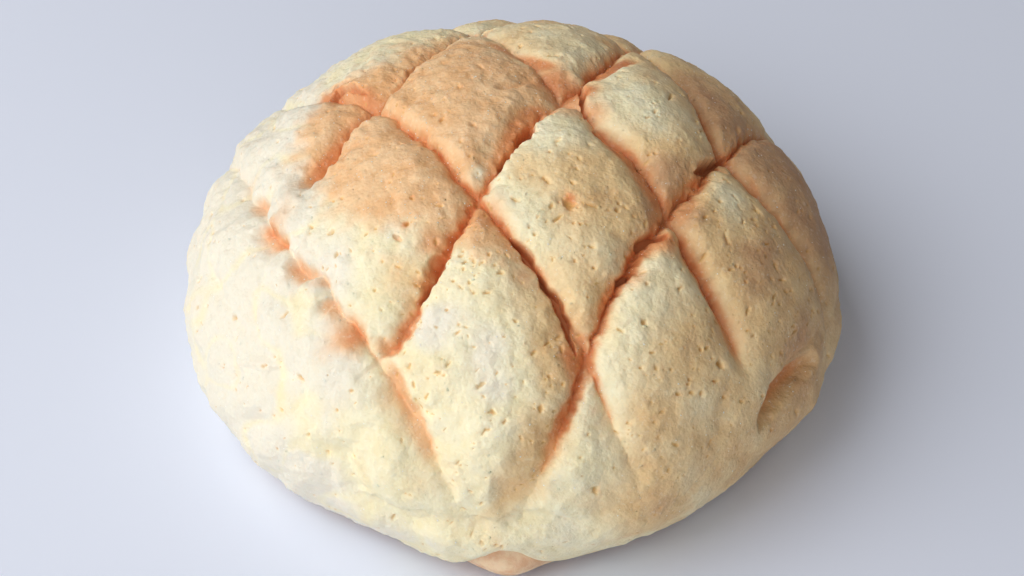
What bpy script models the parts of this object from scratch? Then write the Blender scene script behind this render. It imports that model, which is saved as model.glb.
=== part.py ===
"""A melon pan: a round sweet bun, baked under a cookie crust that was scored in a lattice.

Metres, +Z up. The bun lies on its flat underside at z = 0, and the origin is the middle of
that face. Its front, where the crust stops short of the board, is at -Y.
"""

import math

import bmesh
import bpy
import numpy as np

# Driving dimensions
DIAMETER = 0.115
HEIGHT = 0.053
GROOVE_DEPTH = 0.0036
GROOVE_BOTTOM = 0.0019
SHOULDER = 0.0070

# The outline of the bun seen from the side
BELLY_RADIUS = DIAMETER / 2
BELLY_HEIGHT = 0.27 * HEIGHT
CROWN_FULLNESS = 1.85  # 2 is a true ellipse, and less is a more pointed crown
LIP_RADIUS = 0.905 * BELLY_RADIUS  # the crust's lower edge
LIP_HEIGHT = 0.0012
LIP_THICKNESS = 0.0014
FOOT_RADIUS = 0.86 * BELLY_RADIUS  # the bare bread below the crust
FOOT_EDGE = 0.0025

# The lattice is cut in the cookie dough as a flat sheet, with u to the right and v to the
# back. A score runs at SCORE_ANGLE to the u axis, and lies the stated distance from the
# sheet's middle at each station along it. Its depth there is a share of GROOVE_DEPTH.
MM = 0.001
SCORE_ANGLE = math.radians(57)
STATIONS = [-60, -40, -20, 0, 20, 40, 60]
FALLING_SCORES = [  # these run to the right as they come forward
    {"offset": [-66, -64, -58, -61, -56, -60, -64], "depth": [0.2, 0.2, 0.3, 0.35, 0.45, 0.2, 0.1]},
    {"offset": [-40, -39, -42.5, -43.7, -43.5, -44, -46], "depth": [0.4, 0.35, 0.7, 0.85, 0.9, 0.7, 0.2]},
    {"offset": [-24, -21, -16, -14.3, -14, -13.6, -14.5], "depth": [0.5, 0.7, 0.75, 0.85, 1, 1, 0.45]},
    {"offset": [14, 14, 13.2, 11.8, 13.5, 12, 13.5], "depth": [0.6, 0.7, 0.7, 0.8, 0.9, 0.75, 0.35]},
    {"offset": [41, 40, 39, 38.5, 33.5, 41, 45], "depth": [0.5, 0.6, 0.7, 0.9, 1, 0.7, 0.5]},
    {"offset": [60, 60, 60, 60, 59, 58, 58], "depth": [0.4, 0.5, 0.5, 0.5, 0.5, 0.4, 0.3]},
]
RISING_SCORES = [  # these run to the left as they come forward
    {"offset": [-78, -78, -78, -78, -79, -80, -80], "depth": [0.1, 0.2, 0.3, 0.4, 0.4, 0.4, 0.4]},
    {"offset": [-52, -52, -51, -52, -53, -54, -55], "depth": [0.1, 0.15, 0.25, 0.35, 0.5, 0.6, 0.5]},
    {"offset": [-24, -23.8, -23.4, -24.4, -25.5, -24, -24], "depth": [0.1, 0.15, 0.9, 1, 0.7, 0.6, 0.5]},
    {"offset": [2, 6.4, 5, 4.2, 3.6, 0.4, -1], "depth": [0.3, 0.8, 1, 1, 0.9, 0.9, 0.7]},
    {"offset": [36.5, 36.3, 32.5, 31.9, 31.6, 31, 33], "depth": [0.35, 0.9, 1, 1, 1, 0.8, 0.6]},
    {"offset": [64, 64, 66, 65, 66, 66, 66], "depth": [0.1, 0.1, 0.6, 1, 0.5, 0.3, 0.3]},
]
FADE_START = 0.060  # along the sheet from its middle, where the grooves begin to run out
FADE_END = 0.078
FADE_TO = 0.25

# The tiles puff up between the scores. A tile is named by how many scores of each family
# lie to its left, and the others take the usual puff.
TILE_HALF = 0.013
USUAL_PUFF = 0.0012
TILE_PUFF = {(4, 4): 0.0024, (3, 4): 0.0016, (2, 4): 0.0018, (2, 3): 0.0014}

# Swells of the lower outline: azimuth, half width in degrees, and how far it stands out
RIM_SWELLS = [(-90, 13, 0.0017), (-46, 14, -0.0012), (-118, 10, -0.0012), (176, 12, -0.0008)]

CROWN_STEPS = 96  # points along the outline, from the crown to the belly,
TUCK_STEPS = 24  # from there in to the crust's lower edge,
FOOT_STEPS = 6  # and round the foot's edge
MESH_FINENESS = 7  # subdivisions of the sphere that the bun is shaped from
FINISHED_TRIANGLES = 9600

CRUST_COLOUR = (0.80, 0.58, 0.33, 1.0)
CRUST_ROUGHNESS = 0.75


def empty_scene():
    for obj in list(bpy.data.objects):
        bpy.data.objects.remove(obj, do_unlink=True)


def side_outline():
    """Points of the outline, from the crown down over the belly and in to the underside's middle."""
    points = []
    for step in range(CROWN_STEPS + 1):
        turn = math.pi / 2 * (1 - step / CROWN_STEPS)
        round_share = math.cos(turn) ** (2 / CROWN_FULLNESS) if step else 0.0
        rise_share = math.sin(turn) ** (2 / CROWN_FULLNESS)
        points.append((BELLY_RADIUS * round_share, BELLY_HEIGHT + (HEIGHT - BELLY_HEIGHT) * rise_share))
    for step in range(1, TUCK_STEPS + 1):
        share = step / TUCK_STEPS
        tuck = (BELLY_RADIUS - LIP_RADIUS) * share**2
        points.append((BELLY_RADIUS - tuck, BELLY_HEIGHT + (LIP_HEIGHT - BELLY_HEIGHT) * share))
    points.append((LIP_RADIUS - LIP_THICKNESS, LIP_HEIGHT - LIP_THICKNESS / 2))
    for step in range(FOOT_STEPS + 1):
        turn = math.pi / 2 * step / FOOT_STEPS
        points.append((FOOT_RADIUS - FOOT_EDGE * (1 - math.cos(turn)), LIP_HEIGHT / 2 * (1 - math.sin(turn))))
    points.append((0.0, 0.0))
    return np.array(points)


def arc_lengths(outline):
    steps = np.hypot(*np.diff(outline, axis=0).T)
    return np.concatenate([[0.0], np.cumsum(steps)])


def between_stations(values, along):
    """A smooth curve through one value for each station."""
    pitch = STATIONS[1] - STATIONS[0]
    place = np.clip((along / MM - STATIONS[0]) / pitch, 0, len(STATIONS) - 1.0001)
    first = place.astype(int)
    t = place - first
    padded = np.array([values[0], *values, values[-1]], float)
    before, here, after, beyond = (padded[first + k] for k in range(4))
    return 0.5 * (
        2 * here
        + (after - before) * t
        + (2 * before - 5 * here + 4 * after - beyond) * t**2
        + (3 * here - before - 3 * after + beyond) * t**3
    )


def shoulder(distance):
    """How far the crust has risen from a score's bottom, from 0 on it to 1 on the tile."""
    rounded = np.hypot(distance, GROOVE_BOTTOM) - GROOVE_BOTTOM
    near = np.clip(1 - rounded / SHOULDER, 0, 1)
    return np.sqrt(1 - near**2)


def family_of_scores(scores, along, across):
    """(share of the crust's rise, distance to the nearest score, how many scores lie to the left)."""
    level = np.ones_like(across)
    nearest = np.full_like(across, TILE_HALF)
    to_the_left = np.zeros(across.shape, int)
    for score in scores:
        offset = between_stations(score["offset"], along) * MM
        depth = between_stations(score["depth"], along)
        distance = np.abs(across - offset)
        level *= 1 - depth * (1 - shoulder(distance))
        nearest = np.minimum(nearest, distance)
        to_the_left += across > offset
    return level, nearest, to_the_left


def crust_relief(u, v):
    """Height of the crust over the plain dome at a place on the flat sheet."""
    right, front = math.cos(SCORE_ANGLE), math.sin(SCORE_ANGLE)
    falling, from_falling, column = family_of_scores(
        FALLING_SCORES, right * u - front * v, front * u + right * v
    )
    rising, from_rising, row = family_of_scores(
        RISING_SCORES, right * u + front * v, front * u - right * v
    )
    level = falling * rising
    reach = np.hypot(u, v)
    fade = 1 - (1 - FADE_TO) * np.clip((reach - FADE_START) / (FADE_END - FADE_START), 0, 1)
    puff = np.full_like(u, USUAL_PUFF)
    for (tile_column, tile_row), height in TILE_PUFF.items():
        puff[(column == tile_column) & (row == tile_row)] = height
    roundness = np.sin(math.pi / 2 * from_falling / TILE_HALF) * np.sin(math.pi / 2 * from_rising / TILE_HALF)
    return fade * (puff * roundness - GROOVE_DEPTH * (1 - level))


def rim_swell(azimuth, height):
    """How far the bun stands out of a true round at this azimuth, full at the lip and none at the crown."""
    swell = np.zeros_like(azimuth)
    for middle, half_width, amount in RIM_SWELLS:
        away = (np.degrees(azimuth) - middle + 180) % 360 - 180
        swell += amount * np.exp(-((away / half_width) ** 2))
    return swell * np.clip(1 - height / (0.6 * HEIGHT), 0, 1)


def shape_bun(directions):
    """Places of the bun's surface points, one for each direction of a unit sphere's points."""
    outline = side_outline()
    lengths = arc_lengths(outline)
    crust_end = lengths[CROWN_STEPS + TUCK_STEPS]
    azimuth = np.arctan2(directions[:, 1], directions[:, 0])
    reach = np.arccos(np.clip(directions[:, 2], -1, 1)) / math.pi * lengths[-1]
    radius, height = (np.interp(reach, lengths, outline[:, k]) for k in range(2))
    run, fall = (np.gradient(outline[:, k], lengths) for k in range(2))
    out, up = -np.interp(reach, lengths, fall), np.interp(reach, lengths, run)
    relief = crust_relief(reach * np.cos(azimuth), reach * np.sin(azimuth))
    relief *= np.clip((crust_end - reach) / SHOULDER, 0, 1)
    radius = radius + relief * out + rim_swell(azimuth, height) * np.clip(radius / LIP_RADIUS, 0, 1) ** 4
    height = height + relief * up
    return np.stack([radius * np.cos(azimuth), radius * np.sin(azimuth), height], axis=1)


def crust_material():
    material = bpy.data.materials.new("crust")
    material.use_nodes = True
    shader = material.node_tree.nodes["Principled BSDF"]
    shader.inputs["Base Color"].default_value = CRUST_COLOUR
    shader.inputs["Roughness"].default_value = CRUST_ROUGHNESS
    return material


def make_bun(collection):
    mesh = bpy.data.meshes.new("bun")
    shape = bmesh.new()
    bmesh.ops.create_icosphere(shape, subdivisions=MESH_FINENESS, radius=1)
    shape.to_mesh(mesh)
    shape.free()
    directions = np.empty(len(mesh.vertices) * 3, np.float32)
    mesh.vertices.foreach_get("co", directions)
    directions = directions.reshape(-1, 3).astype(float)
    directions /= np.linalg.norm(directions, axis=1, keepdims=True)
    mesh.vertices.foreach_set("co", shape_bun(directions).astype(np.float32).ravel())
    mesh.shade_smooth()
    mesh.materials.append(crust_material())
    bun = bpy.data.objects.new("bun", mesh)
    collection.objects.link(bun)
    thin = bun.modifiers.new("fewer faces on the plain parts", "DECIMATE")
    thin.ratio = FINISHED_TRIANGLES / len(mesh.polygons)
    return bun


def main():
    empty_scene()
    collection = bpy.data.collections.new("melon_pan")
    bpy.context.scene.collection.children.link(collection)
    make_bun(collection)


main()
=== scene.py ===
"""A melon pan: a round sweet bun, baked under a cookie crust that was scored in a lattice.

Metres, +Z up. The bun lies at the origin with its front at -Y, and a camera looks down on it.
"""

import math
from types import SimpleNamespace

import bmesh
import bpy
import numpy as np
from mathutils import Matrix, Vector, kdtree, noise


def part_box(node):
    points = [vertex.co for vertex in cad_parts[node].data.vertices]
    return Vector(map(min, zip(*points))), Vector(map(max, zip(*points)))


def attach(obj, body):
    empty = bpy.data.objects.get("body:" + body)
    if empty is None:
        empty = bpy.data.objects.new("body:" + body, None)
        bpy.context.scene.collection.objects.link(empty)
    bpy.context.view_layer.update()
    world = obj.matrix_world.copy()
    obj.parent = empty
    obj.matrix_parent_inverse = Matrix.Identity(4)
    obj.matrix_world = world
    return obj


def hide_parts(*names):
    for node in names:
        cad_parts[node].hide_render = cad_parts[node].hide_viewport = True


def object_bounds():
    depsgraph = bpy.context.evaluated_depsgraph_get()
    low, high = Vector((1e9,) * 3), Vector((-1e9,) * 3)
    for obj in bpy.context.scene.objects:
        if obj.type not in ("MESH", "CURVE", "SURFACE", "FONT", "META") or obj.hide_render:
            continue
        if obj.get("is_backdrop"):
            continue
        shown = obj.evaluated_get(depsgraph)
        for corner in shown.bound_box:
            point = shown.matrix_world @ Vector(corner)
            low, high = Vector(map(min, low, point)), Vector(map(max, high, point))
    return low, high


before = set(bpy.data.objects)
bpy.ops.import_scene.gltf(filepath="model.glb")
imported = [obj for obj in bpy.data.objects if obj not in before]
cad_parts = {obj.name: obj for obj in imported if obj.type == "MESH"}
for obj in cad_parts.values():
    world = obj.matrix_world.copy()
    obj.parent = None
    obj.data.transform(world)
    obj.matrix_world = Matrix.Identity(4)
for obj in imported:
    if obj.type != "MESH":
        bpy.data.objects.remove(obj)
cad_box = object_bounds()


# ---------------------------------------------------------------- the bread roll
# The roll inside: a round of soft yeast dough, proved under the crust and baked tan where it is
# bare. It shows in the torn grooves, as a lip at the front, and as the browned flat underside.

MM = 0.001
node_low, node_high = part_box("bun")
TILE_RISE = 0.9 * MM  # how far the highest tile stands over the plain dome
BELLY_RADIUS = (node_high.x - node_low.x) / 2
CROWN_HEIGHT = node_high.z - node_low.z - TILE_RISE
BELLY_HEIGHT = 0.27 * CROWN_HEIGHT
CROWN_FULLNESS = 1.85  # 2 is a true ellipse, and less is a more pointed crown
RIM_SWELLS = [(-90, 13, 1.7 * MM), (-46, 14, -1.2 * MM), (-118, 10, -1.2 * MM), (176, 12, -0.8 * MM)]

BREAD_DEPTH = 4.4 * MM  # how far the roll's skin lies under the crust's face
FOOT_RADIUS = 0.885 * BELLY_RADIUS
FOOT_ROUNDING = 2.4 * MM
FRONT = math.radians(-90)
FRONT_LIP = {"half_width": 0.13, "height": 4.6 * MM, "tall": 4.6 * MM, "out": 3.8 * MM}
SKIN_LUMP = 9 * MM
SKIN_WRINKLE = 2.2 * MM
BREAD_TRIANGLES = 60000


def sphere_directions(fineness):
    """(mesh of an icosphere, the direction of each of its points)."""
    mesh = bpy.data.meshes.new("round")
    shape = bmesh.new()
    bmesh.ops.create_icosphere(shape, subdivisions=fineness, radius=1)
    shape.to_mesh(mesh)
    shape.free()
    directions = np.empty(len(mesh.vertices) * 3, np.float32)
    mesh.vertices.foreach_get("co", directions)
    directions = directions.reshape(-1, 3).astype(float)
    return mesh, directions / np.linalg.norm(directions, axis=1, keepdims=True)


def crown_curve(radius, belly, top, steps):
    """The side of a dome as (out, up) points, from its crown down to its widest place."""
    turn = np.linspace(math.pi / 2, 0, steps)
    out = np.abs(np.cos(turn)) ** (2 / CROWN_FULLNESS)
    out[0] = 0
    return np.stack([radius * out, belly + (top - belly) * np.sin(turn) ** (2 / CROWN_FULLNESS)], axis=1)


def arc_lengths(outline):
    return np.concatenate([[0], np.cumsum(np.hypot(*np.diff(outline, axis=0).T))])


def turned(outline, reach, azimuth):
    """(place, outward normal, downhill tangent) at a reach along a side outline."""
    lengths = arc_lengths(outline)
    slope = np.gradient(outline, lengths, axis=0)
    out, up = (np.interp(reach, lengths, outline[:, k]) for k in range(2))
    run, fall = (np.interp(reach, lengths, slope[:, k]) for k in range(2))
    size = np.hypot(run, fall)
    run, fall = run / size, fall / size
    east, north = np.cos(azimuth), np.sin(azimuth)
    place = np.stack([out * east, out * north, up], axis=1)
    normal = np.stack([-fall * east, -fall * north, run], axis=1)
    downhill = np.stack([run * east, run * north, fall], axis=1)
    return place, normal, downhill


def rim_swell(azimuth, height):
    """How far the bun stands out of a true round, full at the foot and none at the crown."""
    swell = np.zeros_like(azimuth)
    for middle, half_width, amount in RIM_SWELLS:
        away = (np.degrees(azimuth) - middle + 180) % 360 - 180
        swell += amount * np.exp(-((away / half_width) ** 2))
    return swell * np.clip(1 - height / (0.6 * CROWN_HEIGHT), 0, 1)


def at_front(azimuth, half_width):
    """1 over the middle of the bun's front, falling to 0 on both sides of it."""
    away = np.angle(np.exp(1j * (azimuth - FRONT)))
    return np.exp(-((away / half_width) ** 2))


def lumps(places, size, layer=0):
    """Smooth random swelling between -1 and 1, one lump to a size. Each layer is another pattern."""
    scaled = (places / size + 37.3 * layer).tolist()
    return np.fromiter(map(noise.noise, scaled), float, len(scaled))


def to_radial(azimuth):
    return np.stack([np.cos(azimuth), np.sin(azimuth), np.zeros_like(azimuth)], axis=1)


def thinned(mesh, name, triangles):
    """The mesh with its faces merged where it is plain, down to about so many triangles."""
    rough = bpy.data.objects.new(name, mesh)
    bpy.context.scene.collection.objects.link(rough)
    fewer = rough.modifiers.new("fewer faces on the plain parts", "DECIMATE")
    fewer.ratio = min(1, triangles / len(mesh.polygons))
    evaluated = rough.evaluated_get(bpy.context.evaluated_depsgraph_get())
    finished = bpy.data.meshes.new_from_object(evaluated)
    bpy.data.objects.remove(rough)
    bpy.data.meshes.remove(mesh)
    finished.name = name
    finished.shade_smooth()
    piece = bpy.data.objects.new(name, finished)
    bpy.context.scene.collection.objects.link(piece)
    return piece


def kept_in_box(place):
    """The places drawn in a little on each side of the middle where they would leave the frame."""
    low, high = np.array(node_low), np.array(node_high)
    shrink_low = np.minimum(1, np.abs(low) / np.maximum(np.abs(place.min(0)), 1e-6))
    shrink_high = np.minimum(1, high / place.max(0))
    shrink_low[2] = 1
    return place * np.where(place < 0, shrink_low, shrink_high) * (0.9993, 0.9993, 0.9998)


def set_attribute(mesh, name, values):
    layer = mesh.attributes.new(name, "FLOAT", "POINT")
    layer.data.foreach_set("value", np.ascontiguousarray(values, np.float32))


def make_bread():
    mesh, directions = sphere_directions(8)
    side = crown_curve(BELLY_RADIUS - BREAD_DEPTH, BELLY_HEIGHT, CROWN_HEIGHT - BREAD_DEPTH, 80)
    share = np.linspace(0, 1, 20)[1:, None]
    foot_top = np.array([[FOOT_RADIUS, FOOT_ROUNDING]])
    tuck = side[-1] + (foot_top - side[-1]) * np.hstack([share**2, share])
    turn = np.linspace(0, math.pi / 2, 9)[1:]
    corner = np.stack(
        [FOOT_RADIUS - FOOT_ROUNDING * (1 - np.cos(turn)), FOOT_ROUNDING * (1 - np.sin(turn))], axis=1
    )
    outline = np.vstack([side, tuck, corner, [[0, 0]]])
    azimuth = np.arctan2(directions[:, 1], directions[:, 0])
    reach = np.arccos(np.clip(directions[:, 2], -1, 1)) / math.pi * arc_lengths(outline)[-1]
    place, normal, _ = turned(outline, reach, azimuth)
    height = place[:, 2]
    lip = at_front(azimuth, FRONT_LIP["half_width"])
    lip = lip * np.exp(-(((height - FRONT_LIP["height"]) / FRONT_LIP["tall"]) ** 2))
    beside = np.clip(np.hypot(place[:, 0], place[:, 1]) / FOOT_RADIUS, 0, 1) ** 8
    wide = rim_swell(azimuth, height) + FRONT_LIP["out"] * lip
    place = place + (wide * beside)[:, None] * to_radial(azimuth)
    soft = 0.35 * MM * lumps(place, SKIN_LUMP, 1) + 0.10 * MM * lumps(place, SKIN_WRINKLE, 2)
    place = place + soft[:, None] * normal
    place[:, 2] = np.maximum(place[:, 2], 0)
    underside = np.clip(1 - height / (1.5 * MM), 0, 1) * np.clip(-normal[:, 2], 0, 1)
    place[:, 2] += underside * (0.10 * MM + 0.10 * MM * lumps(place, SKIN_WRINKLE, 3))
    mesh.vertices.foreach_set("co", kept_in_box(place).astype(np.float32).ravel())
    set_attribute(mesh, "underside", np.clip(1 - height / (4 * MM), 0, 1))
    set_attribute(mesh, "covered", np.clip((height - 10 * MM) / (5 * MM), 0, 1))
    return thinned(mesh, "bread_roll", BREAD_TRIANGLES)


def empty_group(name, inputs, outputs):
    """An empty shader node group: (group, its input node, its output node)."""
    group = bpy.data.node_groups.new(name, "ShaderNodeTree")
    for socket, kind, value in inputs:
        made = group.interface.new_socket(socket, in_out="INPUT", socket_type=kind)
        if value is not None:
            made.default_value = value
    for socket, kind in outputs:
        group.interface.new_socket(socket, in_out="OUTPUT", socket_type=kind)
    return group, group.nodes.new("NodeGroupInput"), group.nodes.new("NodeGroupOutput")


def set_inputs(tree, node, **sockets):
    """Sets a node's inputs, each named with _ for a space, or n and its number. Each may be a link."""
    for key, value in sockets.items():
        words = key.replace("_", " ")
        socket = node.inputs[int(words[1:]) if words[0] == "n" and words[1:].isdigit() else words]
        if isinstance(value, bpy.types.NodeSocket):
            tree.links.new(value, socket)
        else:
            socket.default_value = value


def add(tree, kind, settings=None, **sockets):
    node = tree.nodes.new(kind)
    for key, value in (settings or {}).items():
        setattr(node, key, value)
    set_inputs(tree, node, **sockets)
    return node


def math_of(tree, operation, first, second=0.0, third=0.0):
    return add(tree, "ShaderNodeMath", {"operation": operation}, n0=first, n1=second, n2=third).outputs[0]


def scale_of(tree, vector, scale):
    return add(tree, "ShaderNodeVectorMath", {"operation": "SCALE"}, n0=vector, Scale=scale).outputs[0]


def attribute_in(tree, name):
    return add(tree, "ShaderNodeAttribute", {"attribute_name": name}).outputs["Fac"]


def blend_of(tree, factor, first, second):
    """One colour into another by a factor."""
    return add(tree, "ShaderNodeMix", {"data_type": "RGBA"}, n0=factor, n6=first, n7=second).outputs[2]


def spread_of(tree, value, low, high, to_low=0.0, to_high=1.0):
    """A value stretched from one range to another, with soft ends."""
    return add(
        tree, "ShaderNodeMapRange", {"interpolation_type": "SMOOTHSTEP"},
        Value=value, From_Min=low, From_Max=high, To_Min=to_low, To_Max=to_high,
    ).outputs[0]


def make_grain_group():
    """The grain that all baked dough has: mottling, flecks, small dark pits and the grain's height."""
    group, given, made = empty_group(
        "baked_grain",
        [
            ("Grain", "NodeSocketFloat", 0.5 * MM),
            ("Patch", "NodeSocketFloat", 5 * MM),
            ("Pit", "NodeSocketFloat", 1.5 * MM),
            ("Pitted", "NodeSocketFloat", 0.5),
        ],
        [
            ("Patches", "NodeSocketFloat"),
            ("Flecks", "NodeSocketFloat"),
            ("Pits", "NodeSocketFloat"),
            ("Height", "NodeSocketFloat"),
        ],
    )
    place = add(group, "ShaderNodeTexCoord").outputs["Object"]
    per_grain, per_patch, per_pit = (
        math_of(group, "DIVIDE", 1.0, given.outputs[size]) for size in ("Grain", "Patch", "Pit")
    )

    def noise_in(scale, detail, roughness):
        sizes = {"Scale": scale, "Detail": detail, "Roughness": roughness}
        return add(group, "ShaderNodeTexNoise", Vector=place, **sizes).outputs

    def cells_in(vector, scale):
        return add(group, "ShaderNodeTexVoronoi", {"feature": "F1"}, Vector=vector, Scale=scale).outputs

    def vectors(operation, first, second):
        return add(group, "ShaderNodeVectorMath", {"operation": operation}, n0=first, n1=second).outputs[0]

    patches = noise_in(per_patch, 5.0, 0.62)["Fac"]
    fine = noise_in(per_grain, 2.0, 0.7)
    coarse = noise_in(math_of(group, "MULTIPLY", per_grain, 0.32), 2.0, 0.5)["Fac"]
    bent = vectors("ADD", place, scale_of(group, fine["Color"], 0.8 * MM))
    cells = cells_in(bent, per_grain)["Distance"]
    holes = cells_in(vectors("MULTIPLY", bent, (0.5, 0.9, 1.6)), per_pit)
    draws = add(group, "ShaderNodeSeparateColor", n0=holes["Color"]).outputs
    clustered = spread_of(group, patches, 0.42, 0.6, 0.25, 1.5)
    clustered = math_of(group, "MULTIPLY", clustered, given.outputs["Pitted"])
    kept = math_of(group, "LESS_THAN", draws[0], clustered)
    reach = math_of(group, "MULTIPLY_ADD", math_of(group, "POWER", draws[1], 3.0), 0.14, 0.06)
    inside = math_of(group, "DIVIDE", holes["Distance"], reach)
    pits = math_of(group, "MULTIPLY", spread_of(group, inside, 0.8, 1.2, 1.0, 0.0), kept)
    fine = fine["Fac"]
    height = math_of(group, "MULTIPLY_ADD", spread_of(group, cells, 0.0, 0.75, 1.0, 0.0), 0.6, fine)
    height = math_of(group, "MULTIPLY_ADD", coarse, 1.6, height)
    set_inputs(group, made, Patches=patches, Flecks=fine, Pits=pits, Height=height)
    return group


baked_grain = make_grain_group()


def new_material(name):
    """(material, its node tree, its shader) with a plain Principled BSDF."""
    material = bpy.data.materials.new(name)
    material.use_nodes = True
    return material, material.node_tree, material.node_tree.nodes["Principled BSDF"]


def grain_in(tree, **sizes):
    return add(tree, "ShaderNodeGroup", {"node_tree": baked_grain}, **sizes).outputs


def bread_material():
    material, tree, shader = new_material("bread_skin")
    grain = grain_in(tree, Grain=0.5 * MM, Patch=3.5 * MM, Pit=2.2 * MM, Pitted=0.35)
    patches = spread_of(tree, grain["Patches"], 0.35, 0.65)
    tan = blend_of(tree, patches, (0.78, 0.47, 0.27, 1), (0.90, 0.68, 0.45, 1))
    brown = blend_of(tree, patches, (0.36, 0.16, 0.06, 1), (0.58, 0.30, 0.12, 1))
    base = blend_of(tree, spread_of(tree, attribute_in(tree, "underside"), 0.35, 0.95), tan, brown)
    base = blend_of(tree, attribute_in(tree, "covered"), base, (0.66, 0.26, 0.10, 1))
    # Darker in the pits: painted shade.
    base = blend_of(tree, math_of(tree, "MULTIPLY", grain["Pits"], 0.4), base, (0.42, 0.18, 0.08, 1))
    bump = add(tree, "ShaderNodeBump", Height=grain["Height"], Strength=0.35, Distance=0.15 * MM)
    set_inputs(
        tree, shader, Base_Color=base, Normal=bump.outputs["Normal"], Roughness=0.6,
        Subsurface_Weight=0.15, Subsurface_Radius=(1.0, 0.45, 0.2), Subsurface_Scale=1.2 * MM,
    )
    return material


bread_roll = make_bread()
bread_roll.data.materials.append(bread_material())
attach(bread_roll, "root")
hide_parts("bun")


# ---------------------------------------------------------------- the cookie crust
# A sheet of sugary cookie dough, laid over the roll and pressed with a lattice before baking.
# The roll swells under it, so the tiles puff up, the grooves open, and some of them tear.

LIP_RADIUS = 0.905 * BELLY_RADIUS  # the crust's lower edge, just off the board
LIP_HEIGHT = 1.2 * MM
CRUST_THICKNESS = 6 * MM
EDGE_POLAR = math.radians(140)  # where on the sphere that the crust is shaped from its edge lies
STEADY_REACH = 40 * MM  # inside this the uneven edge has no effect
LIP_ARCH = {"half_width": 0.12, "up": 10.5 * MM, "lean": 0.3}  # the crust stops higher at the front
SCORE_ANGLE = math.radians(57)
STATIONS = [-60, -40, -20, 0, 20, 40, 60]
# Each score of the lattice, as the dough lay flat: its distances from the middle at the stations
# along it, in millimetres, and its depths there as shares of the full depth.
FALLING_SCORES = [  # these run to the right as they come forward
    ([-66, -64, -58, -61, -56, -60, -64], [0.2, 0.2, 0.3, 0.35, 0.45, 0.2, 0.1]),
    ([-40, -39, -42.5, -43.7, -43.5, -44, -46], [0.4, 0.35, 0.5, 0.55, 0.65, 0.6, 0.2]),
    ([-24, -21, -16, -14.3, -13.4, -12.9, -14.2], [0.5, 0.7, 0.75, 0.85, 1, 1, 0.45]),
    ([14, 14, 13.2, 11.8, 14.3, 14, 15], [0.6, 0.6, 0.4, 0.6, 0.9, 0.8, 0.1]),
    ([41, 40, 39, 38.5, 33.5, 41, 45], [0.5, 0.6, 0.7, 0.9, 1, 0.7, 0.5]),
    ([60, 60, 60, 60, 59, 58, 58], [0.4, 0.5, 0.5, 0.5, 0.5, 0.4, 0.3]),
]
RISING_SCORES = [  # these run to the left as they come forward
    ([-78, -78, -78, -78, -79, -80, -80], [0.1, 0.2, 0.3, 0.4, 0.4, 0.4, 0.4]),
    ([-52, -52, -51, -52, -53, -54, -55], [0.1, 0.15, 0.25, 0.35, 0.5, 0.6, 0.5]),
    ([-24, -24.4, -24.7, -24.4, -25.5, -24, -24], [0.1, 0.15, 0.9, 1, 0.7, 0.6, 0.5]),
    ([2, 6.4, 5, 4.0, 3.6, 0.4, -1], [0.3, 0.8, 0.9, 0.6, 0.75, 0.9, 0.7]),
    ([40.6, 38.2, 33.2, 31.9, 31.6, 31, 33], [0.35, 0.9, 1, 1, 1, 0.8, 0.6]),
    ([64, 64, 66, 65, 66, 66, 66], [0.1, 0.1, 0.5, 0.7, 0.4, 0.3, 0.3]),
]
GROOVE_DEPTH = 2.5 * MM
GROOVE_BOTTOM = 0.6 * MM
SOFT_SHOULDER = 5.6 * MM  # a tile's right flank runs softly down into the groove,
CRISP_SHOULDER = 2.6 * MM  # and its left edge stands over it, less so low on the side
LOW_SHOULDER = 5.0 * MM
FLANK_WIDTH = 3.6 * MM  # how far the browning and painted warm glow spread to the left of a score
CREASE_WIDTH = 0.45 * MM  # the fine line along a groove's bottom
CREASE_DEPTH = 0.4 * MM
FADE_START = 54 * MM  # the lattice dies out over the bun's side
FADE_END = 76 * MM
FADE_TO = 0.2
CREASE_END = 60 * MM
# A tile is named by how many scores of each family lie to its left.
TILE_HALF = 13 * MM
USUAL_PUFF = 1.2 * MM
TILE_PUFF = {(4, 4): 2.4 * MM, (3, 4): 1.6 * MM, (2, 4): 1.8 * MM, (2, 3): 1.4 * MM}
# Where the dough ran together again and closed a score: the place and how far round it.
CLOSED = [(-38, -12.5, 4), (-32, -50, 8), (46, -50, 8)]
STROKE_REACH = 7 * MM  # nothing changes further than this from a valley or a tear
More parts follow.
